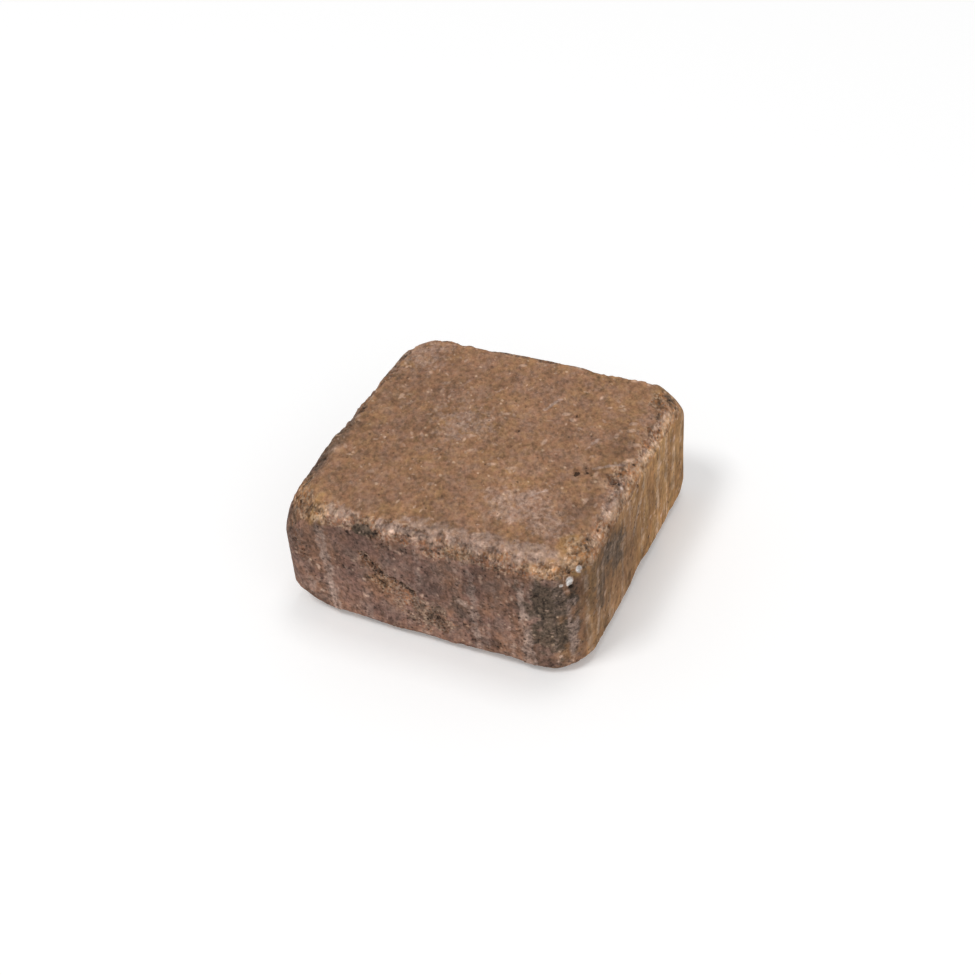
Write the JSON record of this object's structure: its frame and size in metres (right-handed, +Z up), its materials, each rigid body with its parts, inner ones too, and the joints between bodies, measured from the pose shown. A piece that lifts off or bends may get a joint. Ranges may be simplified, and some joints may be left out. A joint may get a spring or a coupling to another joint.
{
  "type": "concrete paver",
  "caption": "Square tumbled concrete paver with rounded corners, worn chipped edges and a flat wearing face, for laying in paths, drives and patios.",
  "frame": {"origin": "middle of the bed face, at the level that the paver rests on", "axes": "+Z up out of the wearing face; +X out of the right wall and -Y out of the front wall, as the picture shows them"},
  "size_m": [0.14, 0.14, 0.06],
  "materials": {
    "concrete": "matte dry-cast concrete, brown with a mauve and charcoal blend, worn and dusty"
  },
  "bodies": {
    "root": {"paver": "concrete"}
  },
  "joints": []
}
